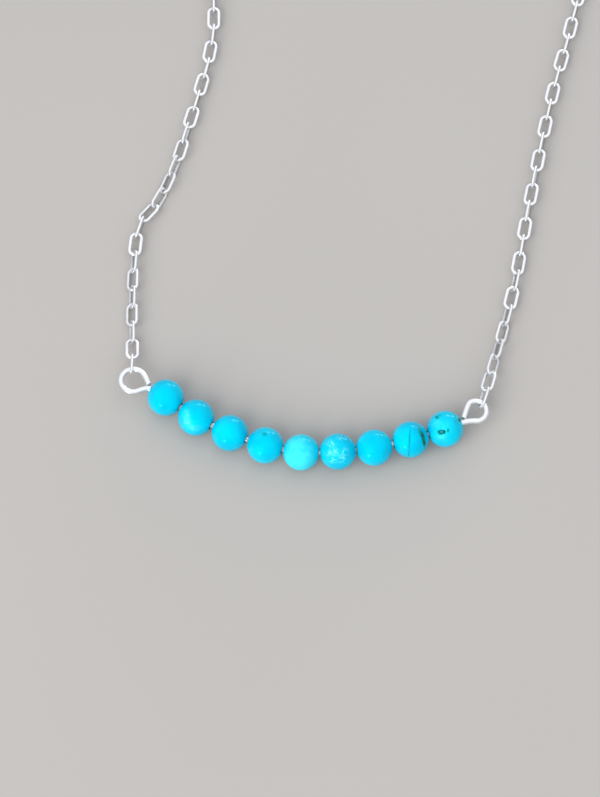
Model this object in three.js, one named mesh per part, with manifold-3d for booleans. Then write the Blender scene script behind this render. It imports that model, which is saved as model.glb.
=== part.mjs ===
// A silver bar necklace: nine round turquoise beads on a bowed silver wire, on a cable chain.
// Millimetres, +Z up. It lies on a flat surface, the bar towards -Y and the clasp towards +Y.
import * as THREE from "three";
import { mergeVertices } from "three/addons/utils/BufferGeometryUtils.js";
import Module from "manifold-3d";

const wasm = await Module();
wasm.setup();

// The beads, drilled through, and where their centres lie along the bowed bar
const BEAD_DIAMETER = 4;
const BEAD_HOLE = 0.92;
const BEAD_SIDES = 14;
const BEAD_RINGS = 8;
const BEADS = [
  { x: -14.91, y: 6.55 },
  { x: -11.56, y: 4.16 },
  { x: -7.84, y: 2.3 },
  { x: -3.96, y: 0.84 },
  { x: -0.03, y: 0 },
  { x: 3.98, y: 0.1 },
  { x: 7.96, y: 0.56 },
  { x: 11.93, y: 1.53 },
  { x: 15.74, y: 2.79 },
];

// The bar wire: each end leaves its bead, turns round a loop and stops beside the bead
const BAR_WIRE = 0.64;
const BAR_SIDES = 10;
const BAR_STEPS = 120;
const BAR_HEIGHT = BEAD_DIAMETER / 2;
const LEFT_LOOP = {
  centre: [-18.53, 8.61],
  radius: 1.37,
  fromDegrees: 27,
  toDegrees: 275,
  stem: [-16.85, 7.64],
  cutEnd: [-16.83, 8.2],
};
const RIGHT_LOOP = {
  centre: [19.1, 4.91],
  radius: 1.2,
  fromDegrees: -105,
  toDegrees: 120,
  stem: [17.75, 3.57],
  cutEnd: [17.79, 4.13],
};
const LOOP_ARC_DEGREES = 27;

// The cable chain: ovals of flattened wire, each a quarter turn from the last
const LINK_LENGTH = 2.83;
const LINK_WIDTH = 1.56;
const LINK_WIRE = 0.37;
const LINK_THICKNESS = 0.33;
const LINK_SIDES = 12;
const LINK_WIRE_SIDES = 5;
const LINK_BITE = 0.05;

// Clear space between an end link and the round wire that it hangs on
const HOOK_GAP = 0.1;

// Where each chain lies, from inside the bar's loop to inside the clasp's eye. shownLinks are
// made as links, and the rest is a plain round run. The leaning end link starts a little above
// the bar's middle, and the chain comes down to the surface within its drop. Twist is the roll,
// in degrees, at a link.
const LEFT_CHAIN = {
  shownLinks: 25,
  startsAbove: 0.16,
  drop: 3.8,
  twist: [
    { link: 0, degrees: 3 },
    { link: 1, degrees: 0 },
    { link: 2, degrees: 19 },
    { link: 3, degrees: -28 },
    { link: 4, degrees: 26 },
    { link: 5, degrees: -30 },
    { link: 6, degrees: 25 },
    { link: 7, degrees: 1 },
    { link: 8, degrees: 6 },
    { link: 10, degrees: -38 },
    { link: 13, degrees: -14 },
    { link: 17, degrees: 16 },
    { link: 25, degrees: -6 },
  ],
  route: [
    [-18.72, 9.55],
    [-18.7, 11.57],
    [-18.77, 13.65],
    [-18.83, 15.9],
    [-18.85, 18.01],
    [-18.85, 20.47],
    [-18.81, 22.51],
    [-18.68, 24.74],
    [-18.5, 26.67],
    [-18.18, 28.29],
    [-17.53, 29.48],
    [-16.75, 30.32],
    [-16.09, 31.32],
    [-15.55, 32.49],
    [-14.1, 36.2],
    [-12.9, 40.4],
    [-11.7, 44.8],
    [-10.7, 48.9],
    [-10.1, 52.8],
    [-10.1, 57.4],
    [-10.9, 66.5],
    [-14.1, 77.5],
    [-19, 90],
    [-23.8, 103.3],
    [-26.8, 117.3],
    [-26.6, 131],
    [-23, 143.5],
    [-16.6, 154],
    [-8, 161.4],
    [1, 165.2],
    [6.6, 166],
  ],
};
const RIGHT_CHAIN = {
  shownLinks: 27,
  startsAbove: 0.03,
  drop: 10,
  twist: [
    { link: 0, degrees: 27 },
    { link: 1, degrees: -20 },
    { link: 2, degrees: -45 },
    { link: 3, degrees: -51 },
    { link: 4, degrees: -51 },
    { link: 5, degrees: -59 },
    { link: 6, degrees: -84 },
    { link: 7, degrees: -66 },
    { link: 8, degrees: -80 },
    { link: 12, degrees: -98 },
    { link: 20, degrees: -80 },
    { link: 27, degrees: -92 },
  ],
  route: [
    [19.65, 5.48],
    [20.38, 7.81],
    [20.94, 9.94],
    [21.55, 12.29],
    [22.16, 14.59],
    [22.73, 16.72],
    [23.3, 18.93],
    [23.77, 21.02],
    [24.16, 22.98],
    [25.1, 28.3],
    [26.5, 35.4],
    [27.7, 41.2],
    [28.9, 46.4],
    [30.4, 51.9],
    [31.7, 57],
    [34.4, 66.5],
    [38.3, 78.5],
    [42.9, 91],
    [46.9, 104.5],
    [48.9, 118.5],
    [46.8, 133],
    [41.5, 145.5],
    [33.6, 155.8],
    [24.6, 162.6],
    [15.6, 165.9],
  ],
};

// The plain run that stands for the rest of a chain
const RUN_SIDES = 8;
const RUN_STEP = 3.9;
const RUN_GAP = 0.3;

// The clasp: a flat body with a keyhole, and a wire eye at each end for the chain
const CLASP_EYE = { radius: 1.0, wire: 0.64, sides: 16, wireSides: 8 };
const CLASP_THICKNESS = 1.56;
const CLASP_BEVEL = 0.25;
const CLASP_TAIL = { x: -2.2, radius: 1.15 };
const CLASP_HEAD = { x: 1.3, radius: 1.95 };
const CLASP_KEYHOLE = { x: 1.15, radiusX: 1.25, radiusY: 0.85 };
const CLASP_ARC_STEPS = 8;

const SILVER = { color: 0xe9e8ea, roughness: 0.25, metalness: 1 };
const TURQUOISE = { color: 0x12c4dc, roughness: 0.35, metalness: 0 };

const radians = THREE.MathUtils.degToRad;

// A closed geometry as a solid that can be joined to others
function solidOf(geometry) {
  const bare = geometry.clone();
  bare.deleteAttribute("normal");
  bare.deleteAttribute("uv");
  const merged = mergeVertices(bare, 1e-4);
  return new wasm.Manifold(
    new wasm.Mesh({
      numProp: 3,
      vertProperties: merged.attributes.position.array,
      triVerts: new Uint32Array(merged.index.array),
    }),
  );
}

// Several overlapping geometries joined into one
function fused(geometries) {
  const joined = geometries.map(solidOf).reduce((whole, next) => whole.add(next));
  const mesh = joined.getMesh();
  return new THREE.BufferGeometry()
    .setAttribute("position", new THREE.BufferAttribute(mesh.vertProperties, 3))
    .setIndex(new THREE.BufferAttribute(mesh.triVerts, 1));
}

function namedMesh(name, geometry, finish) {
  const mesh = new THREE.Mesh(geometry, new THREE.MeshStandardMaterial(finish));
  mesh.name = name;
  return mesh;
}

// A smooth curve through points on the plane, at one height
function smoothCurve(points, height) {
  const curve = new THREE.CatmullRomCurve3(
    points.map(([x, y]) => new THREE.Vector3(x, y, height)),
    false,
    "centripetal",
  );
  curve.arcLengthDivisions = 2000;
  return curve;
}

function polygon(radius, sides) {
  const corners = Array.from({ length: sides }, (_, i) => {
    const angle = (2 * Math.PI * (i + 0.5)) / sides;
    return new THREE.Vector2(radius * Math.cos(angle), radius * Math.sin(angle));
  });
  return new THREE.Shape(corners);
}

function tube(curve, radius, sides, steps) {
  return new THREE.ExtrudeGeometry(polygon(radius, sides), { steps, extrudePath: curve });
}

// Points round a loop of the bar, in the order of rising angle
function loopPoints(loop) {
  const turn = loop.toDegrees - loop.fromDegrees;
  const steps = Math.round(turn / LOOP_ARC_DEGREES);
  return Array.from({ length: steps + 1 }, (_, i) => {
    const angle = radians(loop.fromDegrees + (turn * i) / steps);
    return [
      loop.centre[0] + loop.radius * Math.cos(angle),
      loop.centre[1] + loop.radius * Math.sin(angle),
    ];
  });
}

const barCurve = smoothCurve(
  [
    LEFT_LOOP.cutEnd,
    ...loopPoints(LEFT_LOOP),
    LEFT_LOOP.stem,
    ...BEADS.map((bead) => [bead.x, bead.y]),
    RIGHT_LOOP.stem,
    ...loopPoints(RIGHT_LOOP),
    RIGHT_LOOP.cutEnd,
  ],
  BAR_HEIGHT,
);

function barWire() {
  return namedMesh("bar_wire", tube(barCurve, BAR_WIRE / 2, BAR_SIDES, BAR_STEPS), SILVER);
}

// A ball with a straight hole along Z: the hole's wall, then the arc back from end to end
function beadGeometry() {
  const radius = BEAD_DIAMETER / 2;
  const holeAngle = Math.asin(BEAD_HOLE / BEAD_DIAMETER);
  const profile = Array.from({ length: BEAD_RINGS + 1 }, (_, i) => {
    const angle = holeAngle + ((Math.PI - 2 * holeAngle) * i) / BEAD_RINGS;
    return new THREE.Vector2(radius * Math.sin(angle), -radius * Math.cos(angle));
  });
  return new THREE.LatheGeometry([...profile, profile[0].clone()], BEAD_SIDES).rotateX(
    Math.PI / 2,
  );
}

// Each bead threaded on the wire, its hole along the line between its neighbours
function beads() {
  return BEADS.map((bead, i) => {
    const before = BEADS[i - 1] ?? { x: LEFT_LOOP.stem[0], y: LEFT_LOOP.stem[1] };
    const after = BEADS[i + 1] ?? { x: RIGHT_LOOP.stem[0], y: RIGHT_LOOP.stem[1] };
    const along = new THREE.Vector3(after.x - before.x, after.y - before.y, 0).normalize();
    const mesh = namedMesh(`bead_${i + 1}`, beadGeometry(), TURQUOISE);
    mesh.quaternion.setFromUnitVectors(new THREE.Vector3(0, 0, 1), along);
    mesh.position.set(bead.x, bead.y, BAR_HEIGHT);
    return mesh;
  });
}

// A ring pulled apart along X into an oval with straight sides, and flattened along Z
function linkGeometry() {
  const turn = Math.PI / LINK_SIDES;
  const ring = new THREE.TorusGeometry(
    (LINK_WIDTH - LINK_WIRE) / 2,
    LINK_WIRE / 2,
    LINK_WIRE_SIDES,
    LINK_SIDES,
  ).rotateZ(turn);
  const position = ring.attributes.position;
  const halfStraight = (LINK_LENGTH - LINK_WIDTH) / 2;
  for (let i = 0; i < position.count; i++) {
    position.setX(i, position.getX(i) + halfStraight * Math.sign(position.getX(i)));
  }
  return ring.scale(1, 1, LINK_THICKNESS / LINK_WIRE);
}

// From a link's centre to the flat inner face of its end, and the pitch at which two bite
const LINK_REACH =
  (LINK_LENGTH - LINK_WIDTH) / 2 +
  ((LINK_WIDTH - LINK_WIRE) / 2 - (LINK_WIRE / 2) * Math.cos(Math.PI / LINK_WIRE_SIDES)) *
    Math.cos(Math.PI / LINK_SIDES);
const LINK_PITCH = 2 * LINK_REACH + LINK_BITE;

// From the end of a chain's route to the middle of the wire that its end link hangs on
const HOOK_SEAT = LINK_BITE / 2 + HOOK_GAP + BAR_WIRE / 2;

// The roll at a link, between the rows of a twist table
function twistAt(rows, link) {
  const next = rows.findIndex((row) => row.link >= link);
  if (next <= 0) return rows[0].degrees;
  const [a, b] = [rows[next - 1], rows[next]];
  return THREE.MathUtils.mapLinear(link, a.link, b.link, a.degrees, b.degrees);
}

// A link's roll about its own length: every other one is a quarter turn over
function rollAt(chain, link) {
  return radians(twistAt(chain.twist, link) + 90 * (link % 2));
}

// How high two links meet: the more upright one rests on its edge, and near the bar both rise
function meetingHeight(chain, distance, rolls) {
  const steepest = Math.max(...rolls.map((roll) => Math.abs(Math.cos(roll))));
  const resting = LINK_THICKNESS / 2 + ((LINK_WIDTH - LINK_THICKNESS) / 2) * steepest;
  const dropped = THREE.MathUtils.smoothstep(distance, 0, chain.drop);
  return THREE.MathUtils.lerp(BAR_HEIGHT + chain.startsAbove, resting, dropped);
}

// The points where the shown links of a chain meet, evenly spaced along its route
function linkJoints(chain) {
  const curve = smoothCurve(chain.route, 0);
  const count = Math.round(curve.getLength() / LINK_PITCH);
  return Array.from({ length: chain.shownLinks + 1 }, (_, i) => {
    const rolls = [Math.max(i - 1, 0), i].map((link) => rollAt(chain, link));
    return curve.getPointAt(i / count).setZ(meetingHeight(chain, i * LINK_PITCH, rolls));
  });
}

// One link between two joints, rolled about the line that joins them
function placedLink(from, to, roll) {
  const along = new THREE.Vector3().subVectors(to, from).normalize();
  const level = new THREE.Vector3(-along.y, along.x, 0).normalize();
  const up = new THREE.Vector3().crossVectors(along, level);
  const turned = new THREE.Matrix4().makeBasis(along, up, level.negate());
  return linkGeometry()
    .applyMatrix4(new THREE.Matrix4().makeRotationX(roll))
    .applyMatrix4(turned)
    .translate((from.x + to.x) / 2, (from.y + to.y) / 2, (from.z + to.z) / 2);
}

// The shown links of a chain, soldered into one body
function linkChain(name, chain) {
  const joints = linkJoints(chain);
  const links = Array.from({ length: chain.shownLinks }, (_, i) =>
    placedLink(joints[i], joints[i + 1], rollAt(chain, i)),
  );
  return namedMesh(name, fused(links), SILVER);
}

// The rest of a chain as a round run of its width, clear of the last link and of the clasp
function chainRun(name, chain) {
  const curve = smoothCurve(chain.route, LINK_WIDTH / 2);
  const length = curve.getLength();
  const count = Math.round(length / LINK_PITCH);
  const lastLinkEnd = (length * chain.shownLinks) / count + LINK_LENGTH / 2 - LINK_PITCH / 2;
  const start = lastLinkEnd + RUN_GAP;
  const end = length - (HOOK_SEAT + CLASP_EYE.wire / 2 + RUN_GAP);
  const steps = Math.round((end - start) / RUN_STEP);
  const stations = Array.from({ length: steps + 1 }, (_, i) =>
    curve.getPointAt((start + ((end - start) * i) / steps) / length),
  );
  const run = new THREE.CatmullRomCurve3(stations, false, "centripetal");
  return namedMesh(name, tube(run, LINK_WIDTH / 2, RUN_SIDES, steps), SILVER);
}

// The clasp's outline: two round ends of different size, joined by straight sides
function claspOutline() {
  const shape = new THREE.Shape();
  const lean = Math.asin((CLASP_HEAD.radius - CLASP_TAIL.radius) / (CLASP_HEAD.x - CLASP_TAIL.x));
  const side = Math.PI / 2 + lean;
  shape.absarc(CLASP_HEAD.x, 0, CLASP_HEAD.radius - CLASP_BEVEL, -side, side, false);
  shape.absarc(CLASP_TAIL.x, 0, CLASP_TAIL.radius - CLASP_BEVEL, side, 2 * Math.PI - side, false);
  const hole = new THREE.Path();
  const { x, radiusX, radiusY } = CLASP_KEYHOLE;
  hole.absellipse(x, 0, radiusX + CLASP_BEVEL, radiusY + CLASP_BEVEL, 0, 2 * Math.PI, true, 0);
  shape.holes.push(hole);
  return shape;
}

// One plain piece: a flat body and an eye at each end, between the ends of the two chains
function clasp() {
  const leftEnd = new THREE.Vector2(...LEFT_CHAIN.route.at(-1));
  const rightEnd = new THREE.Vector2(...RIGHT_CHAIN.route.at(-1));
  const across = new THREE.Vector2().subVectors(rightEnd, leftEnd);
  const eyeX = across.length() / 2 + HOOK_SEAT - CLASP_EYE.radius;
  const body = new THREE.ExtrudeGeometry(claspOutline(), {
    depth: CLASP_THICKNESS - 2 * CLASP_BEVEL,
    bevelThickness: CLASP_BEVEL,
    bevelSize: CLASP_BEVEL,
    bevelSegments: 1,
    curveSegments: CLASP_ARC_STEPS,
  }).translate(0, 0, CLASP_BEVEL);
  const eyes = [-eyeX, eyeX].map((x) =>
    new THREE.TorusGeometry(
      CLASP_EYE.radius,
      CLASP_EYE.wire / 2,
      CLASP_EYE.wireSides,
      CLASP_EYE.sides,
    ).translate(x, 0, CLASP_THICKNESS / 2),
  );
  const mesh = namedMesh("clasp", fused([body, ...eyes]), SILVER);
  mesh.rotation.z = across.angle();
  mesh.position.set((leftEnd.x + rightEnd.x) / 2, (leftEnd.y + rightEnd.y) / 2, 0);
  return mesh;
}

// The whole necklace, its footprint centred on the origin and its lowest point at z = 0
function necklace() {
  const pieces = new THREE.Group();
  pieces.add(
    barWire(),
    ...beads(),
    linkChain("left_chain", LEFT_CHAIN),
    linkChain("right_chain", RIGHT_CHAIN),
    chainRun("left_chain_back", LEFT_CHAIN),
    chainRun("right_chain_back", RIGHT_CHAIN),
    clasp(),
  );
  const box = new THREE.Box3().setFromObject(pieces, true);
  const middle = box.getCenter(new THREE.Vector3());
  pieces.position.set(-middle.x, -middle.y, -box.min.z);
  return new THREE.Group().add(pieces);
}

export default necklace();
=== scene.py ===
import bpy
import numpy as np
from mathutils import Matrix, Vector


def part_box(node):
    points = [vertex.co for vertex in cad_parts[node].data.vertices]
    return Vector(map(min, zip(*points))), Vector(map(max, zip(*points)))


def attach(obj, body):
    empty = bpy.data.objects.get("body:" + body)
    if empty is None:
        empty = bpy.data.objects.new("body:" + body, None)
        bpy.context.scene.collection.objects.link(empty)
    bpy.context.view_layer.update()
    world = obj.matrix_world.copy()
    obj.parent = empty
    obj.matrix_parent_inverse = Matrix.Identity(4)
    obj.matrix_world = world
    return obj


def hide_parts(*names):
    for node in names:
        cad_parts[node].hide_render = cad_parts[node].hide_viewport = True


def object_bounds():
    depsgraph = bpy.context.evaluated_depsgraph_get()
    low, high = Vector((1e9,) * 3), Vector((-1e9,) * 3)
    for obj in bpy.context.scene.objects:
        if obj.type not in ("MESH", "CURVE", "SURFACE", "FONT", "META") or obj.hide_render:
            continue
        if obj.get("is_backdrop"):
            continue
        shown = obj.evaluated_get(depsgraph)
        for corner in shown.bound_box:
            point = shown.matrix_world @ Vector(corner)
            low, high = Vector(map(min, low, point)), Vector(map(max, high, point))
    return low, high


# A silver bar necklace with nine turquoise beads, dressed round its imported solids.
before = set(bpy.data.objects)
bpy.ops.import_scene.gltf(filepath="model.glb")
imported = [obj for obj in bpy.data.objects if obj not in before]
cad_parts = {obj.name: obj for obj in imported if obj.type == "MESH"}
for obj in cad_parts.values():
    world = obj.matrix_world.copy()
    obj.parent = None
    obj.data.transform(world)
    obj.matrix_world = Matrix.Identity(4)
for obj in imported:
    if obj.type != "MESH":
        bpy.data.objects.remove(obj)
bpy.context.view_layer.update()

MM = 0.001
UP = np.array([0.0, 0.0, 1.0])

# Bead centres along the bowed bar, in millimetres on the layout's own origin
BEAD_CENTRES = np.array(
    [
        (-14.91, 6.55),
        (-11.56, 4.16),
        (-7.84, 2.3),
        (-3.96, 0.84),
        (-0.03, 0),
        (3.98, 0.1),
        (7.96, 0.56),
        (11.93, 1.53),
        (15.74, 2.79),
    ]
)
BEAD_RADIUS = 2.0
BEAD_WAVER = 0.004
HOLE_RADIUS = 0.44
HOLE_CHAMFER = 0.05

# The bar's wire, the bevel at its cut ends, and the points along and round it
WIRE_RADIUS = 0.32
WIRE_BEVEL = 0.05
WIRE_STATIONS, WIRE_SIDES = 420, 24
# How dull its silver is, and how much painted shade greys it where it runs between the end beads
WIRE_DULLING, BETWEEN_BEADS_SHADE = 0.1, 1.4
# Its loops: centre, radius, first and last angle, then where the wire goes on to
LEFT_LOOP = ((-18.53, 8.61), 1.37, 27, 275)
LEFT_STEM, LEFT_CUT_END = (-16.85, 7.64), (-16.77, 8.07)
RIGHT_LOOP = ((19.1, 4.91), 1.2, -105, 120)
RIGHT_STEM, RIGHT_CUT_END = (17.75, 3.57), (17.76, 4.03)
# Degrees between the points that a loop is drawn through
LOOP_ARC = 27

# One chain link: flattened wire bent to an oval with straight sides
LINK_LENGTH = 2.94
LINK_WIDTH = 1.56
LINK_WIRE = 0.38
LINK_THICKNESS = 0.3
LINK_PITCH = 2.18
LINK_SECTIONS = 20
LINK_SIDES = 10
# About how far it is round a link and round its wire, which sets the scale of the grain
LINK_ROUND, LINK_WIRE_ROUND = 6.5, 1.3
# How far inside its route each chain's first and last joints lie
END_SLACK = 0.07
# How far above the wire's middle each chain starts, and how far along its route it has come
# down to the surface
LEFT_START, LEFT_DROP = 0.16, 3.8
RIGHT_START, RIGHT_DROP = 0.03, 10.0

# Where each chain lies, and how far its links are rolled: (link, degrees) rows
LEFT_ROUTE = [
    (-18.72, 9.55), (-18.7, 11.57), (-18.77, 13.65), (-18.83, 15.9), (-18.85, 18.01),
    (-18.85, 20.47), (-18.81, 22.51), (-18.68, 24.74), (-18.5, 26.67), (-18.18, 28.29),
    (-17.53, 29.48), (-16.75, 30.32), (-16.09, 31.32), (-15.55, 32.49), (-14.1, 36.2),
    (-12.9, 40.4), (-11.7, 44.8), (-10.7, 48.9), (-10.1, 52.8), (-10.1, 57.4),
    (-10.9, 66.5), (-14.1, 77.5), (-19, 90), (-23.8, 103.3), (-26.8, 117.3),
    (-26.6, 131), (-23, 143.5), (-16.6, 154), (-8, 161.4), (1, 165.2),
    (6.6, 166),
]
LEFT_ROLL = [
    (0, 3), (1, 0), (2, 19), (3, -28), (4, 26), (5, -30), (6, 25), (7, 1), (8, 6),
    (10, -38), (13, -14), (17, 16), (25, -6), (81, 90),
]
RIGHT_ROUTE = [
    (19.65, 5.48), (20.38, 7.81), (20.94, 9.94), (21.55, 12.29), (22.16, 14.59),
    (22.73, 16.72), (23.3, 18.93), (23.77, 21.02), (24.16, 22.98), (25.1, 28.3),
    (26.5, 35.4), (27.7, 41.2), (28.9, 46.4), (30.4, 51.9), (31.7, 57),
    (34.4, 66.5), (38.3, 78.5), (42.9, 91), (46.9, 104.5), (48.9, 118.5),
    (46.8, 133), (41.5, 145.5), (33.6, 155.8), (24.6, 162.6), (15.6, 165.9),
]
RIGHT_ROLL = [
    (0, 27), (1, -20), (2, -45), (3, -51), (4, -51), (5, -59), (6, -84), (7, -66),
    (8, -80), (12, -98), (20, -80), (27, -92), (81, -180),
]

# The clasp: a flat teardrop with a keyhole, and a wire eye at each end
CLASP_THICKNESS = 1.56
CLASP_EDGE = 0.32
CLASP_TAIL_X, CLASP_TAIL_RADIUS = -2.2, 1.15
CLASP_HEAD_X, CLASP_HEAD_RADIUS = 1.3, 1.95
KEYHOLE_X, KEYHOLE_RADII = 1.15, (1.25, 0.85)
EYE_RADIUS = 1.0
# How far the middle of an eye's wire lies past the chain's end, inside its last link
HOOK_SEAT = 0.445
# The lever's rivet head and thumb piece: the middle and the three radii of each
RIVET_HEAD = ((-1.1, 0, CLASP_THICKNESS - 0.02), (0.36, 0.36, 0.13))
THUMB_PIECE = ((-0.9, 1.46, CLASP_THICKNESS / 2), (0.5, 0.42, 0.46))
CLASP_DULLING = 0.15
# About how far it is round the clasp and round its section, for the grain again
CLASP_ROUND, CLASP_SECTION_ROUND = 14, 5

# The bench viewpoint: degrees above the bar, place on the layout, and a long lens
VIEW_ELEVATION = 66
CAMERA_PLACE = (-0.155, -191.446, 446.469)
LENS = 200
SEEN_RIGHT = np.array([1.0, 0.0, 0.0])
SEEN_TOWARD = np.array(
    [0.0, -np.cos(np.radians(VIEW_ELEVATION)), np.sin(np.radians(VIEW_ELEVATION))]
)
SEEN_UP = np.cross(SEEN_TOWARD, SEEN_RIGHT)

low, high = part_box("bead_5")
LAYOUT_ORIGIN = np.array([(low.x + high.x) / 2, (low.y + high.y) / 2, 0.0])
LAYOUT_ORIGIN[:2] -= BEAD_CENTRES[4] * MM


def linear(hex_colour):
    """An sRGB hex colour as linear red, green, blue and an alpha of one."""
    srgb = np.array([int(hex_colour[i : i + 2], 16) for i in (1, 3, 5)]) / 255
    flat = np.where(srgb <= 0.04045, srgb / 12.92, ((srgb + 0.055) / 1.055) ** 2.4)
    return (*flat, 1.0)


def unit(vectors):
    """Vectors divided by their own lengths."""
    return vectors / np.linalg.norm(vectors, axis=-1, keepdims=True)


def smooth_route(points, per_span=80):
    """A centripetal Catmull-Rom curve: each span is a cubic through two points, whose end
    slopes come from the neighbours, weighed by the square roots of the spacings."""
    p = np.asarray(points, float)
    p = np.vstack([2 * p[0] - p[1], p, 2 * p[-1] - p[-2]])
    gap = np.sqrt(np.linalg.norm(np.diff(p, axis=0), axis=1))[:, None]
    before, here, there, after = p[:-3], p[1:-2], p[2:-1], p[3:]
    g0, g1, g2 = gap[:-2], gap[1:-1], gap[2:]
    leaving = g1 * ((here - before) / g0 - (there - before) / (g0 + g1)) + (there - here)
    arriving = g1 * ((after - there) / g2 - (after - here) / (g1 + g2)) + (there - here)
    t = np.linspace(0, 1, per_span, endpoint=False)[None, :, None]
    spans = (
        (2 * t**3 - 3 * t**2 + 1) * here[:, None]
        + (t**3 - 2 * t**2 + t) * leaving[:, None]
        + (3 * t**2 - 2 * t**3) * there[:, None]
        + (t**3 - t**2) * arriving[:, None]
    )
    return np.vstack([spans.reshape(-1, p.shape[1]), p[-2]])


def run_along(line):
    """The distance from a polyline's start to each of its points."""
    return np.concatenate([[0], np.cumsum(np.linalg.norm(np.diff(line, axis=0), axis=1))])


def at_distances(line, distances):
    """Points of a polyline at given distances along it, interpolated on each axis."""
    run = run_along(line)
    return np.stack([np.interp(distances, run, axis) for axis in line.T], axis=1)


def grid_skin(shape, ring):
    """Faces over grids of rows by columns. Columns wrap round, and rows too on a ring, or
    else a flat cap closes each end. Also gives each corner's row and column as fractions."""
    copies, rows, columns = shape
    i, j = np.meshgrid(np.arange(rows if ring else rows - 1), np.arange(columns), indexing="ij")
    corner_i = np.stack([i, i, i + 1, i + 1], -1).reshape(-1, 4)
    corner_j = np.stack([j, j + 1, j + 1, j], -1).reshape(-1, 4)
    first = (np.arange(copies) * rows * columns)[:, None, None]
    quads = first + (corner_i % rows * columns + corner_j % columns)[None]
    place = np.stack([corner_i / rows, corner_j / columns], -1)
    caps = np.empty((0, columns), int)
    if not ring:
        around = np.arange(columns)
        ends = np.stack([around[::-1], (rows - 1) * columns + around])
        caps = (first + ends[None]).reshape(-1, columns)
    return quads.reshape(-1, 4), np.tile(place, (copies, 1, 1)), caps


def make_piece(name, shells, material, nodes):
    """Joins closed grids into one piece at the origin. A shell holds points, an array of
    copies, rows, columns and xyz in layout millimetres, and may hold ring, the pattern
    size in millimetres along and round it, and numbers to keep at each point."""
    vertices, faces, flat, corners, kept = [], [], [], [], {}
    count = 0
    for shell in shells:
        points = shell["points"]
        points = points if points.ndim == 4 else points[None]
        quads, place, caps = grid_skin(points.shape[:3], shell.get("ring", False))
        faces += (quads + count).tolist() + (caps + count).tolist()
        flat += [np.zeros(len(quads), bool), np.ones(len(caps), bool)]
        corners += [
            (place * shell.get("pattern", (1, 1))).reshape(-1, 2),
            np.zeros((caps.size, 2)),
        ]
        vertices.append(points.reshape(-1, 3))
        for key, values in shell.get("numbers", {}).items():
            kept.setdefault(key, []).append(np.broadcast_to(values, points.shape[:3]).ravel())
        count += points[..., 0].size
    mesh = bpy.data.meshes.new(name)
    mesh.from_pydata(np.vstack(vertices) * MM + LAYOUT_ORIGIN, [], faces)
    mesh.shade_smooth()
    mesh.polygons.foreach_set("use_smooth", ~np.concatenate(flat))
    uv = mesh.uv_layers.new(name="along_and_round")
    uv.data.foreach_set("uv", np.concatenate(corners).ravel())
    for key, values in kept.items():
        mesh.attributes.new(key, "FLOAT", "POINT").data.foreach_set("value", np.concatenate(values))
    mesh.materials.append(material)
    piece = bpy.data.objects.new(name, mesh)
    bpy.context.scene.collection.objects.link(piece)
    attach(piece, "root")
    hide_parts(*nodes)
    return piece


def add(tree, kind, inputs=None, **settings):
    """Adds a node: settings are its own, and inputs are numbers, colours or sockets."""
    node = tree.nodes.new(kind)
    for key, value in settings.items():
        setattr(node, key, value)
    for key, value in (inputs or {}).items():
        if isinstance(value, bpy.types.NodeSocket):
            tree.links.new(value, node.inputs[key])
        else:
            node.inputs[key].default_value = value
    return node


# Sockets of Blender's colour mixing node
FACTOR, FIRST, SECOND, MIXED = 0, 6, 7, 2


def per_mm(size):
    """The scale at which a pattern repeats about every so many millimetres."""
    return 1 / (size * MM)


def start_material(name):
    """A new material and its emptied node tree."""
    material = bpy.data.materials.new(name)
    material.use_nodes = True
    material.node_tree.nodes.clear()
    return material, material.node_tree


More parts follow.
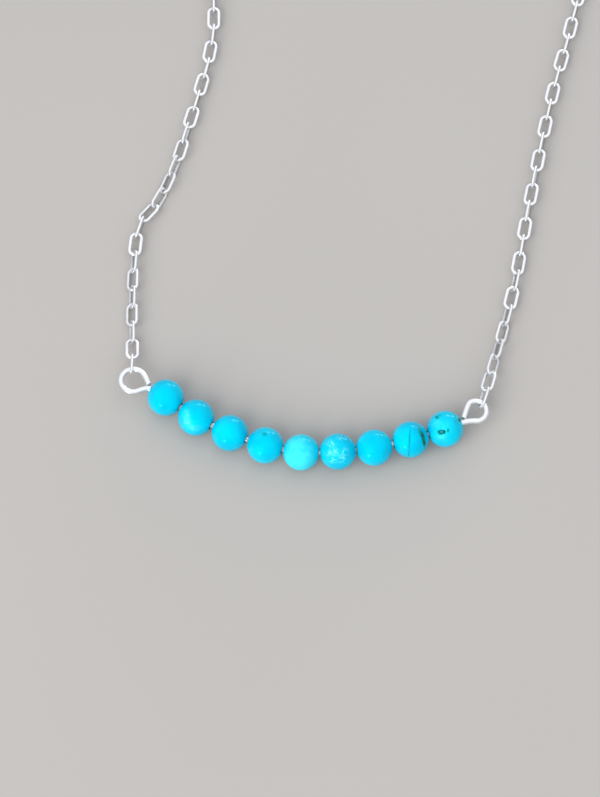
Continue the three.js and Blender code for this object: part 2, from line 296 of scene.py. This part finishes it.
def polished_turquoise():
    """Natural turquoise, ground round, tumbled and waxed. The stone is opaque, so its sky
    blue is even, with a few milky clouds, and veins of green to brown host rock. Pale
    threads where it is crinkled are painted glints, and a pale streak on bead 2 is a
    painted highlight. The threads lie where a noise is near its middle value."""
    material, tree = start_material("polished_turquoise")
    place = add(tree, "ShaderNodeTexCoord").outputs["Object"]
    noise = "ShaderNodeTexNoise"
    cloud = add(tree, noise, {"Vector": place, "Scale": per_mm(2.4), "Detail": 2.0})
    grain = add(tree, noise, {"Vector": place, "Scale": per_mm(0.45), "Detail": 4.0})
    milk_and_highlight = add(tree, "ShaderNodeAttribute", attribute_name="milk_and_highlight")
    vein = add(tree, "ShaderNodeAttribute", attribute_name="vein")
    crinkle_and_glint = add(tree, "ShaderNodeAttribute", attribute_name="crinkle_and_glint")

    clouded = add(
        tree,
        "ShaderNodeMapRange",
        {"Value": cloud.outputs["Fac"], "From Min": 0.35, "From Max": 0.65},
    )
    blue = add(
        tree,
        "ShaderNodeMix",
        {FACTOR: clouded.outputs[0], FIRST: linear("#00afd1"), SECOND: linear("#00c0dd")},
        data_type="RGBA",
    )
    mottle = add(
        tree,
        "ShaderNodeMapRange",
        {"Value": grain.outputs["Fac"], "From Min": 0.36, "From Max": 0.6, "To Min": 0.6},
    )
    # Painted highlight: pale threads where this noise is near its middle stand in for glints off
    # the crinkled stone.
    glint_squiggles = add(tree, noise, {"Vector": place, "Scale": per_mm(0.6), "Detail": 3.0})
    off_squiggle = add(tree, "ShaderNodeMath", {0: glint_squiggles.outputs["Fac"], 1: 0.5}, operation="SUBTRACT")
    width = add(tree, "ShaderNodeMath", {0: off_squiggle.outputs[0]}, operation="ABSOLUTE")
    glint_line = add(
        tree,
        "ShaderNodeMapRange",
        {
            "Value": width.outputs[0],
            "From Min": 0.0,
            "From Max": 0.07,
            "To Min": 0.75,
            "To Max": 0.0,
        },
    )
    glint_threads = add(
        tree,
        "ShaderNodeMath",
        {0: crinkle_and_glint.outputs["Fac"], 1: glint_line.outputs[0]},
        operation="MULTIPLY",
    )
    # Milky patches pale the blue; on bead 2 the pale streak is a painted highlight.
    milky_and_highlight = add(
        tree,
        "ShaderNodeMath",
        {0: milk_and_highlight.outputs["Fac"], 1: mottle.outputs[0]},
        operation="MULTIPLY",
    )
    paler = add(
        tree,
        "ShaderNodeMix",
        {FACTOR: milky_and_highlight.outputs[0], FIRST: blue.outputs[MIXED], SECOND: linear("#38cfe0")},
        data_type="RGBA",
    )
    glint_threaded = add(
        tree,
        "ShaderNodeMix",
        {FACTOR: glint_threads.outputs[0], FIRST: paler.outputs[MIXED], SECOND: linear("#7fe2ea")},
        data_type="RGBA",
    )
    broken = add(
        tree,
        "ShaderNodeMapRange",
        {
            "Value": grain.outputs["Fac"],
            "From Min": 0.3,
            "From Max": 0.7,
            "To Min": 0.75,
            "To Max": 1.25,
        },
    )
    host = add(
        tree,
        "ShaderNodeMath",
        {0: vein.outputs["Fac"], 1: broken.outputs[0]},
        operation="MULTIPLY",
    )
    greened = add(
        tree,
        "ShaderNodeMapRange",
        {"Value": host.outputs[0], "From Min": 0.08, "From Max": 0.6},
        interpolation_type="SMOOTHSTEP",
    )
    green = add(
        tree,
        "ShaderNodeMix",
        {FACTOR: greened.outputs[0], FIRST: glint_threaded.outputs[MIXED], SECOND: linear("#09807a")},
        data_type="RGBA",
    )
    browned = add(
        tree,
        "ShaderNodeMapRange",
        {"Value": host.outputs[0], "From Min": 0.6, "From Max": 1.1},
        interpolation_type="SMOOTHSTEP",
    )
    colour = add(
        tree,
        "ShaderNodeMix",
        {FACTOR: browned.outputs[0], FIRST: green.outputs[MIXED], SECOND: linear("#26322a")},
        data_type="RGBA",
    )
    roughness = add(
        tree,
        "ShaderNodeMapRange",
        {"Value": host.outputs[0], "To Min": 0.2, "To Max": 0.6},
    )
    ripple = add(tree, noise, {"Vector": place, "Scale": per_mm(0.42), "Detail": 3.0})
    pucker = add(
        tree,
        "ShaderNodeBump",
        {
            "Strength": crinkle_and_glint.outputs["Fac"],
            "Distance": 0.09 * MM,
            "Height": ripple.outputs["Fac"],
        },
    )
    fine = add(tree, noise, {"Vector": place, "Scale": per_mm(0.12), "Detail": 2.0})
    surface = add(
        tree,
        "ShaderNodeBump",
        {
            "Strength": 0.5,
            "Distance": 0.0015 * MM,
            "Height": fine.outputs["Fac"],
            "Normal": pucker.outputs["Normal"],
        },
    )
    shader = add(
        tree,
        "ShaderNodeBsdfPrincipled",
        {
            "Base Color": colour.outputs[MIXED],
            "Roughness": roughness.outputs[0],
            "IOR": 1.62,
            "Specular IOR Level": 0.3,
            "Specular Tint": (0.04, 0.85, 1.0, 1.0),
            "Subsurface Weight": 0.1,
            "Subsurface Radius": (0.2, 0.8, 1.0),
            "Subsurface Scale": 0.5 * MM,
            "Normal": surface.outputs["Normal"],
        },
    )
    add(tree, "ShaderNodeOutputMaterial", {"Surface": shader.outputs[0]})
    return material


def sterling_silver(name, polish, grain_size, grain_depth, stretch):
    """Sterling silver, whose near-white polish takes small scuffs, greyed in patches to a cool
    grey: a faint even dulling, and painted shade between the beads and inside the chain
    links. Polish is its least roughness, and the grain is the mark of how it was made,
    its size and depth in millimetres, drawn out along the piece by stretch."""
    material, tree = start_material(name)
    coordinates = add(tree, "ShaderNodeTexCoord")
    dulling_and_shade = add(tree, "ShaderNodeAttribute", attribute_name="dulling_and_shade")
    patches = add(
        tree,
        "ShaderNodeTexNoise",
        {"Vector": coordinates.outputs["Object"], "Scale": per_mm(0.8), "Detail": 3.0},
    )
    # Painted shade: the silver is mixed towards grey where this number is high, between the beads
    # and inside the links; elsewhere it is a faint even dulling.
    dulled_and_shaded = add(
        tree,
        "ShaderNodeMath",
        {0: dulling_and_shade.outputs["Fac"], 1: patches.outputs["Fac"]},
        operation="MULTIPLY",
    )
    colour = add(
        tree,
        "ShaderNodeMix",
        {FACTOR: dulled_and_shaded.outputs[0], FIRST: linear("#f6f7f8"), SECOND: linear("#94979c")},
        data_type="RGBA",
    )
    roughness = add(
        tree,
        "ShaderNodeMapRange",
        {
            "Value": patches.outputs["Fac"],
            "From Min": 0.3,
            "From Max": 0.75,
            "To Min": polish,
            "To Max": polish + 0.16,
        },
    )
    drawn = add(
        tree,
        "ShaderNodeMapping",
        {
            "Vector": coordinates.outputs["UV"],
            "Scale": (1 / (grain_size * stretch), 1 / grain_size, 1),
        },
    )
    grain = add(
        tree,
        "ShaderNodeTexNoise",
        {"Vector": drawn.outputs["Vector"], "Scale": 1.0, "Detail": 2.0},
    )
    surface = add(
        tree,
        "ShaderNodeBump",
        {"Strength": 0.6, "Distance": grain_depth * MM, "Height": grain.outputs["Fac"]},
    )
    shader = add(
        tree,
        "ShaderNodeBsdfPrincipled",
        {
            "Base Color": colour.outputs[MIXED],
            "Metallic": 1.0,
            "Roughness": roughness.outputs[0],
            "Normal": surface.outputs["Normal"],
        },
    )
    add(tree, "ShaderNodeOutputMaterial", {"Surface": shader.outputs[0]})
    return material


def loop_arc(loop):
    """Points round a loop of the bar at even angles, each its centre plus its radius."""
    centre, radius, first, last = loop
    angles = np.radians(np.linspace(first, last, round((last - first) / LOOP_ARC) + 1))
    return np.array(centre) + radius * np.stack([np.cos(angles), np.sin(angles)], 1)


def round_wire(line, radius, bevel, stations, sides):
    """A circle carried along a level line, its two ends drawn in over a short bevel."""
    length = run_along(line)[-1]
    even = np.linspace(bevel, length - bevel, stations)
    distances = np.concatenate([[0, bevel / 3], even, [length - bevel / 3, length]])
    centres = at_distances(line, distances)
    ahead = unit(np.gradient(at_distances(line, distances), distances, axis=0))
    left = np.cross(UP, ahead)
    from_end = np.minimum(distances, length - distances)
    radii = radius - bevel * (1 - np.clip(from_end / bevel, 0, 1)) ** 2
    angles = np.linspace(0, 2 * np.pi, sides, endpoint=False)[None, :, None]
    around = np.cos(angles) * left[:, None] + np.sin(angles) * UP
    return centres[:, None] + radii[:, None, None] * around


def bar_wire():
    """The bar's one wire, level at the beads' middles: a smooth route through its loops,
    its stems and the bead centres. Between the beads it is greyed with painted shade."""
    line = np.vstack(
        [
            LEFT_CUT_END,
            loop_arc(LEFT_LOOP),
            LEFT_STEM,
            BEAD_CENTRES,
            RIGHT_STEM,
            loop_arc(RIGHT_LOOP),
            RIGHT_CUT_END,
        ]
    )
    level = smooth_route(line)
    level = np.column_stack([level, np.full(len(level), BEAD_RADIUS)])
    points = round_wire(level, WIRE_RADIUS, WIRE_BEVEL, WIRE_STATIONS, WIRE_SIDES)
    pattern = (run_along(level)[-1], 2 * np.pi * WIRE_RADIUS)
    # Painted shade: the wire between the end beads is greyed, as if in the beads' shade; a faint
    # even dulling lies over all of it.
    between = np.abs(points[..., 0]) < -BEAD_CENTRES[0, 0]
    dulling_and_shade = WIRE_DULLING + BETWEEN_BEADS_SHADE * between
    return {"points": points, "pattern": pattern, "numbers": {"dulling_and_shade": dulling_and_shade}}


def seen_blobs(normals, rows):
    """The strongest of some soft oval spots at each direction from a bead's middle. A row
    is a spot's place to the right and up, its half width and half height, as shares of the
    bead's radius seen from the bench, and its strength: strength times e to the minus of
    the summed squares of the distances, each over its half size."""
    right, up, half_width, half_height, strength = np.array(rows, float).T
    x = (normals @ SEEN_RIGHT)[..., None] - right
    y = (normals @ SEEN_UP)[..., None] - up
    spots = strength * np.exp(-((x / half_width) ** 2) - (y / half_height) ** 2)
    return spots.max(-1) * (normals @ SEEN_TOWARD > 0)


def streak(rows, count=40):
    """Rows of right, up, half size and strength filled in to make one unbroken streak."""
    rows = np.array(rows, float)
    steps = np.linspace(0, len(rows) - 1, count)
    x, y, size, strength = (np.interp(steps, np.arange(len(rows)), c) for c in rows.T)
    return np.column_stack([x, y, size, size, strength])


NOTHING = [(0, 0, 1, 1, 0)]
MILK_AND_HIGHLIGHT = {
    # Bead 2's streak is a painted highlight, the whitish glow low on its left; the other rows are
    # the stone's own milky patches.
    2: streak(
        [
            (-0.48, 0.3, 0.12, 0.5),
            (-0.5, 0, 0.14, 0.55),
            (-0.42, -0.35, 0.17, 0.85),
            (-0.2, -0.55, 0.14, 0.75),
            (0, -0.62, 0.12, 0.5),
        ]
    ),
    5: [(-0.28, -0.45, 0.75, 0.65, 2.3), (-0.25, 0.4, 0.6, 0.6, 1.4), (0.3, -0.1, 0.4, 0.6, 1.1)],
    6: [(-0.2, -0.1, 0.5, 0.6, 0.25)],
    9: [(-0.2, -0.44, 0.28, 0.18, 0.8), (-0.46, 0.34, 0.2, 0.26, 0.6), (0.1, 0.2, 0.5, 0.5, 0.15)],
}
VEIN = {
    4: [(-0.02, 0.62, 0.19, 0.16, 0.42), (0.07, -0.79, 0.13, 0.07, 0.28)],
    8: np.vstack(
        [
            streak([(-0.03, 0.6, 0.05, 0.35), (-0.07, 0.1, 0.055, 0.6), (-0.11, -0.93, 0.05, 0.5)]),
            streak(
                [
                    (0.3, 0.92, 0.06, 0.15),
                    (0.44, 0.66, 0.12, 0.36),
                    (0.55, 0.42, 0.14, 0.6),
                    (0.66, 0.18, 0.11, 1.15),
                    (0.74, -0.2, 0.09, 1.05),
                    (0.76, -0.4, 0.06, 0.4),
                    (0.7, -0.68, 0.06, 0.2),
                ]
            ),
        ]
    ),
    9: [
        (-0.39, -0.17, 0.05, 0.09, 1.1),
        (-0.26, -0.08, 0.15, 0.04, 1.2),
        (-0.25, -0.26, 0.15, 0.045, 1.4),
        (-0.09, -0.16, 0.08, 0.1, 1.7),
        (-0.24, -0.17, 0.14, 0.1, 0.5),
        (0.13, -0.08, 0.06, 0.12, 0.9),
        (-0.46, 0.64, 0.11, 0.1, 0.75),
        (-0.3, 0.74, 0.07, 0.06, 0.5),
        (0.57, 0.41, 0.16, 0.35, 0.25),
        (0.79, 0.52, 0.08, 0.14, 1.0),
    ],
}
# Crinkled patches: each roughens the bump, and lays pale threads over it that are painted glints.
CRINKLE_AND_GLINT = {
    2: [
        (-0.5, 0.0, 0.16, 0.4, 0.5),
        (-0.42, -0.35, 0.2, 0.2, 0.9),
        (-0.12, -0.58, 0.28, 0.14, 0.7),
    ],
    6: [
        (0.13, 0.8, 0.2, 0.14, 0.9),
        (-0.36, 0.43, 0.22, 0.2, 1),
        (-0.19, 0.02, 0.2, 0.2, 1),
        (-0.43, -0.14, 0.2, 0.2, 1),
        (0.33, -0.02, 0.2, 0.2, 1),
        (0.21, -0.38, 0.2, 0.2, 1),
        (-0.27, -0.46, 0.2, 0.2, 1),
    ],
    9: [(-0.3, 0.1, 0.45, 0.6, 0.12)],
}
# Broken-out pits, their strength being the depth in millimetres
PITS = {
    4: [(-0.02, 0.63, 0.07, 0.06, 0.03)],
    9: [
        (-0.24, -0.17, 0.2, 0.11, 0.3),
        (0.78, 0.5, 0.08, 0.14, 0.08),
        (-0.44, 0.62, 0.05, 0.05, 0.04),
    ],
}


def bead(number, around=120, arc_points=62, chamfer_points=4, wall_points=6):
    """A ball with a drilled hole: the profile runs over the ball from end to end, round a
    chamfer and back along the hole's wall, and turns about the wire. Its radius wavers by
    a few thousandths, as squared cosines about random axes, and pits are cut into it."""
    draw = np.random.default_rng(100 + number)
    ends = np.vstack([LEFT_STEM, BEAD_CENTRES, RIGHT_STEM])
    axis = unit(np.append(ends[number + 1] - ends[number - 1], 0))
    rim = np.arcsin((HOLE_RADIUS + HOLE_CHAMFER) / BEAD_RADIUS)
    over = np.linspace(rim, np.pi - rim, arc_points)
    ball = BEAD_RADIUS * np.stack([-np.cos(over), np.sin(over)], 1)
    turn = np.linspace(0, np.pi / 2, chamfer_points + 1)[1:]
    far_rim = ball[-1] + HOLE_CHAMFER * np.stack([-(1 - np.cos(turn)), -np.sin(turn)], 1)
    near_rim = far_rim[::-1] * (-1, 1)
    wall = np.linspace(far_rim[-1], near_rim[0], wall_points + 2)[1:-1]
    profile = np.vstack([ball, far_rim, wall, near_rim[:-1]])
    angles = np.linspace(0, 2 * np.pi, around, endpoint=False)[None, :, None]
    spokes = np.cos(angles) * np.cross(UP, axis) + np.sin(angles) * UP
    points = profile[:, 0, None, None] * axis + profile[:, 1, None, None] * spokes
    normals = unit(points)
    on_ball = (np.arange(len(profile)) < arc_points)[:, None]
    lobes = unit(draw.normal(size=(4, 3)))
    swell = draw.uniform(-BEAD_WAVER, BEAD_WAVER, 4)
    waver = 1 + ((normals @ lobes.T) ** 2 @ swell) * on_ball
    depth = seen_blobs(normals, PITS.get(number, NOTHING)) * on_ball
    points = points * waver[..., None] - normals * depth[..., None]
    centre = np.append(BEAD_CENTRES[number - 1], BEAD_RADIUS)
    numbers = {
        "milk_and_highlight": seen_blobs(normals, MILK_AND_HIGHLIGHT.get(number, NOTHING)),
        "vein": seen_blobs(normals, VEIN.get(number, NOTHING)),
        "crinkle_and_glint": seen_blobs(normals, CRINKLE_AND_GLINT.get(number, NOTHING)),
    }
    return {"points": points + centre, "ring": True, "numbers": numbers}


def flattened_section(half_width, half_thickness, sides):
    """A superellipse of power three, in order against the clock: the rounded oblong that
    rolling flat gives a round wire."""
    angles = -2 * np.pi * (np.arange(sides) + 0.5) / sides
    c, s = np.cos(angles), np.sin(angles)
    across = half_width * np.sign(c) * np.abs(c) ** (2 / 3)
    return across, half_thickness * np.sign(s) * np.abs(s) ** (2 / 3)


def one_link():
    """The flattened section carried round an oval: two half circles pulled apart along X."""
    turn = 2 * np.pi * (np.arange(LINK_SECTIONS) + 0.5) / LINK_SECTIONS
    across, over = flattened_section(LINK_WIRE / 2, LINK_THICKNESS / 2, LINK_SIDES)
    reach = (LINK_WIDTH - LINK_WIRE) / 2 + across[None, :]
    x = reach * np.cos(turn)[:, None]
    x = x + np.sign(np.cos(turn))[:, None] * (LINK_LENGTH - LINK_WIDTH) / 2
    y = reach * np.sin(turn)[:, None]
    return np.stack([x, y, np.broadcast_to(over, x.shape)], -1), -across / (LINK_WIRE / 2)


def chain(route, rolls, start, drop):
    """One link repeated between evenly spaced joints of the route. A link rolls about the
    line between its joints, every other one a quarter turn over. A joint is as high as its
    more upright link needs: half the thickness, plus half the rest of the width times the
    cosine of the roll. Near the bar a smooth step raises it to a start above the wire."""
    line = smooth_route(route)
    length = run_along(line)[-1]
    count = round(length / LINK_PITCH)
    distances = np.linspace(END_SLACK, length - END_SLACK, count + 1)
    joints = at_distances(line, distances)
    links = np.arange(count)
    table = np.array(rolls, float)
    roll = np.radians(np.interp(links, table[:, 0], table[:, 1]) + 90 * (links % 2))
    upright = np.abs(np.cos(roll))
    steepest = np.maximum(np.append(upright, 0), np.insert(upright, 0, 0))
    resting = LINK_THICKNESS / 2 + (LINK_WIDTH - LINK_THICKNESS) / 2 * steepest
    t = np.clip(distances / drop, 0, 1)
    top = BEAD_RADIUS + start
    height = top + (resting - top) * t * t * (3 - 2 * t)
    joints = np.column_stack([joints, height])

    ahead = unit(np.diff(joints, axis=0))
    left = unit(np.cross(UP, ahead))
    above = np.cross(ahead, left)
    cos, sin = np.cos(roll)[:, None], np.sin(roll)[:, None]
    wide = cos * above - sin * left
    basis = np.stack([ahead, wide, np.cross(ahead, wide)], 1)
    shape, inward = one_link()
    points = np.einsum("rcx,nxk->nrck", shape, basis)
    points = points + (joints[:-1] + joints[1:])[:, None, None] / 2
    # Painted shade: the inner side of each link's wire is greyed, inside the oval where the next
    # link hooks through.
    dulling_and_shade = np.broadcast_to(np.clip(inward, 0, 1) ** 2, points.shape[:3])
    pattern = (LINK_ROUND, LINK_WIRE_ROUND)
    return {"points": points, "ring": True, "pattern": pattern, "numbers": {"dulling_and_shade": dulling_and_shade}}


def wire_ring(centre_x, radius, wire_radius, stations=56, sides=18):
    """A torus lying level: a circle of wire carried round a larger circle."""
    turn = np.linspace(0, 2 * np.pi, stations, endpoint=False)[:, None, None]
    angle = -np.linspace(0, 2 * np.pi, sides, endpoint=False)[None, :, None]
    spoke = np.concatenate([np.cos(turn), np.sin(turn), 0 * turn], -1)
    points = spoke * (radius + wire_radius * np.cos(angle)) + UP * wire_radius * np.sin(angle)
    return points + (centre_x, 0, CLASP_THICKNESS / 2)


def teardrop(count):
    """Even points round two circles of different size and the straight sides that touch
    both, against the clock."""
    lean = np.arcsin((CLASP_HEAD_RADIUS - CLASP_TAIL_RADIUS) / (CLASP_HEAD_X - CLASP_TAIL_X))
    side = np.pi / 2 + lean
    arcs = []
    for middle, radius, turn in (
        (CLASP_HEAD_X, CLASP_HEAD_RADIUS, np.linspace(-side, side, 200)),
        (CLASP_TAIL_X, CLASP_TAIL_RADIUS, np.linspace(side, 2 * np.pi - side, 120)),
    ):
        arcs.append(np.stack([middle + radius * np.cos(turn), radius * np.sin(turn)], 1))
    outline = np.vstack([*arcs, arcs[0][0]])
    return at_distances(outline, np.linspace(0, run_along(outline)[-1], count, endpoint=False))


# Grooves across the clasp where its lever meets the nose and the tail: where they are and
# their spread, as shares of the way round, and their depth
CLASP_SEAMS = (0.13, 0.395)
SEAM_SPREAD, SEAM_DEPTH = 0.005, 0.09


def clasp_body(count=280, corner_points=6):
    """A rounded oblong carried round the keyhole, from the hole's oval out to the teardrop's
    outline. Two narrow grooves, each a bell curve of the distance round, nick its skin."""
    outer = teardrop(count)
    angle = np.arctan2(outer[:, 1] / KEYHOLE_RADII[1], (outer[:, 0] - KEYHOLE_X) / KEYHOLE_RADII[0])
    inner = np.stack([np.cos(angle), np.sin(angle)], 1) * KEYHOLE_RADII + (KEYHOLE_X, 0)
    share = np.arange(count) / count
    seams = sum(np.exp(-(((share - seam) / SEAM_SPREAD) ** 2)) for seam in CLASP_SEAMS)
    nick = SEAM_DEPTH * seams[:, None]
    corner = np.repeat([0, 1, 2, 3], corner_points)
    bend = -(corner * np.pi / 2 + np.tile(np.linspace(0, np.pi / 2, corner_points), 4))
    side = np.sign(np.cos(-(corner + 0.5) * np.pi / 2))
    face = np.sign(np.sin(-(corner + 0.5) * np.pi / 2))
    half = np.linalg.norm(outer - inner, axis=1)[:, None] / 2
    across = side * (half - CLASP_EDGE) + (CLASP_EDGE - nick) * np.cos(bend)
    over = face * (CLASP_THICKNESS / 2 - CLASP_EDGE) + (CLASP_EDGE - nick) * np.sin(bend)
    outward = unit(outer - inner)
    level = (outer + inner)[:, None] / 2 + across[..., None] * outward[:, None]
    points = np.concatenate([level, over[..., None] + CLASP_THICKNESS / 2], -1)
    return {"points": points, "ring": True}


def dome(centre, radii, rows=20, columns=32):
    """An ellipsoid by latitude and longitude, in radians, whose last rows stop just short
    of the poles and are capped flat."""
    latitude = np.linspace(-1.5, 1.5, rows)[:, None]
    longitude = np.linspace(0, 2 * np.pi, columns, endpoint=False)[None, :]
    ball = np.stack(
        [
            np.cos(latitude) * np.cos(longitude),
            np.cos(latitude) * np.sin(longitude),
            np.broadcast_to(np.sin(latitude), (rows, columns)),
        ],
        -1,
    )
    return {"points": ball * radii + centre}


def clasp():
    """The clasp's shells, turned and moved from along X to between the two chains' ends."""
    left_end, right_end = np.array(LEFT_ROUTE[-1]), np.array(RIGHT_ROUTE[-1])
    across = right_end - left_end
    eye_x = np.linalg.norm(across) / 2 + HOOK_SEAT - EYE_RADIUS
    shells = [
        clasp_body(),
        {"points": wire_ring(-eye_x, EYE_RADIUS, WIRE_RADIUS), "ring": True},
        {"points": wire_ring(eye_x, EYE_RADIUS, WIRE_RADIUS), "ring": True},
        dome(*RIVET_HEAD),
        dome(*THUMB_PIECE),
    ]
    ahead = unit(across)
    basis = np.array([[*ahead, 0], [-ahead[1], ahead[0], 0], UP])
    middle = np.append((left_end + right_end) / 2, 0)
    for shell in shells:
        shell["points"] = shell["points"] @ basis + middle
        shell["numbers"] = {"dulling_and_shade": CLASP_DULLING}
        shell["pattern"] = (CLASP_ROUND, CLASP_SECTION_ROUND)
    return shells


turquoise = polished_turquoise()
# Drawn through a die, so faint lines run along it; the real ones are finer than 0.05 mm
drawn_wire = sterling_silver("drawn_sterling_wire", 0.3, 0.09, 0.003, 14)
# Wire rolled flat, then bent, soldered and tumbled bright
rolled_links = sterling_silver("rolled_sterling_links", 0.26, 0.16, 0.004, 2)
# Cast and buffed, with a soft ripple left by the wheel
cast_clasp = sterling_silver("cast_sterling_clasp", 0.28, 0.5, 0.006, 1)

make_piece("bent_bar_wire", [bar_wire()], drawn_wire, ["bar_wire"])
for number in range(1, 10):
    node = f"bead_{number}"
    make_piece(f"turquoise_{node}", [bead(number)], turquoise, [node])
for hand, *laid in (
    ("left", LEFT_ROUTE, LEFT_ROLL, LEFT_START, LEFT_DROP),
    ("right", RIGHT_ROUTE, RIGHT_ROLL, RIGHT_START, RIGHT_DROP),
):
    nodes = [f"{hand}_chain", f"{hand}_chain_back"]
    make_piece(f"{hand}_cable_chain", [chain(*laid)], rolled_links, nodes)
make_piece("closed_clasp", clasp(), cast_clasp, ["clasp"])


def pale_table():
    """Matt pale card, with a faint unevenness of tone about a hand's width across."""
    material, tree = start_material("pale_card")
    place = add(tree, "ShaderNodeTexCoord").outputs["Object"]
    tone = add(tree, "ShaderNodeTexNoise", {"Vector": place, "Scale": per_mm(90), "Detail": 2.0})
    colour = add(
        tree,
        "ShaderNodeMix",
        {FACTOR: tone.outputs["Fac"], FIRST: linear("#9f9d9a"), SECOND: linear("#a6a4a1")},
        data_type="RGBA",
    )
    shader = add(
        tree,
        "ShaderNodeBsdfPrincipled",
        {"Base Color": colour.outputs[MIXED], "Roughness": 0.9, "Specular IOR Level": 0.2},
    )
    add(tree, "ShaderNodeOutputMaterial", {"Surface": shader.outputs[0]})
    mesh = bpy.data.meshes.new("table")
    half = 4.0
    corners = [(-half, -half, 0), (half, -half, 0), (half, half, 0), (-half, half, 0)]
    mesh.from_pydata(corners, [], [(0, 1, 2, 3)])
    mesh.materials.append(material)
    table = bpy.data.objects.new("table", mesh)
    bpy.context.scene.collection.objects.link(table)
    table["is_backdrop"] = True


def softbox(name, direction, distance, size, power, colour, mirrored=True):
    """An oblong light at a distance from the bar's middle, facing it, out of the picture
    itself and, where it isn't mirrored, left out of reflections too."""
    light = bpy.data.lights.new(name, "AREA")
    light.shape = "RECTANGLE"
    light.size, light.size_y = size
    light.energy = power
    light.color = linear(colour)[:3]
    lamp = bpy.data.objects.new(name, light)
    bpy.context.scene.collection.objects.link(lamp)
    towards = Vector(direction).normalized()
    lamp.location = Vector(LAYOUT_ORIGIN) + towards * distance
    lamp.rotation_euler = towards.to_track_quat("Z", "Y").to_euler()
    lamp.visible_camera = False
    lamp.visible_glossy = mirrored


def studio():
    """An even bright surround, paler overhead, with a broad light that the silver doesn't
    mirror and three small windows that it does."""
    world = bpy.data.worlds.new("studio")
    world.use_nodes = True
    tree = world.node_tree
    tree.nodes.clear()
    direction = add(tree, "ShaderNodeTexCoord").outputs["Generated"]
    height = add(tree, "ShaderNodeSeparateXYZ", {"Vector": direction}).outputs["Z"]
    rise = add(tree, "ShaderNodeMapRange", {"Value": height, "From Min": 0.05, "From Max": 0.6})
    colour = add(
        tree,
        "ShaderNodeMix",
        {FACTOR: rise.outputs[0], FIRST: linear("#999fa8"), SECOND: linear("#f9faff")},
        data_type="RGBA",
    )
    sky = add(tree, "ShaderNodeBackground", {"Color": colour.outputs[MIXED], "Strength": 1.16})
    add(tree, "ShaderNodeOutputWorld", {"Surface": sky.outputs[0]})
    bpy.context.scene.world = world
    softbox("broad_light", (-0.5, -0.6, 0.62), 0.9, (0.8, 0.7), 8, "#fffaf4", False)
    softbox("low_window", (-0.49, -0.86, 0.12), 1.0, (0.16, 0.2), 1.8, "#ffffff")
    softbox("back_window", (0.237, 0.927, 0.288), 1.0, (0.26, 0.05), 0.9, "#ffffff")
    softbox("back_pane", (0.52, 0.85, 0.08), 1.0, (0.11, 0.09), 0.6, "#ffffff")


def bench_camera():
    """Looks along the viewing angle from the place that frames the bar as it was seen."""
    data = bpy.data.cameras.new("bench_camera")
    data.lens = LENS
    data.clip_start = 0.01
    camera = bpy.data.objects.new("bench_camera", data)
    bpy.context.scene.collection.objects.link(camera)
    camera.location = Vector(LAYOUT_ORIGIN + np.array(CAMERA_PLACE) * MM)
    camera.rotation_euler = (np.radians(90 - VIEW_ELEVATION), 0, 0)
    bpy.context.scene.camera = camera


pale_table()
studio()
bench_camera()
bpy.context.scene.view_settings.view_transform = "Standard"

low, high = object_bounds()
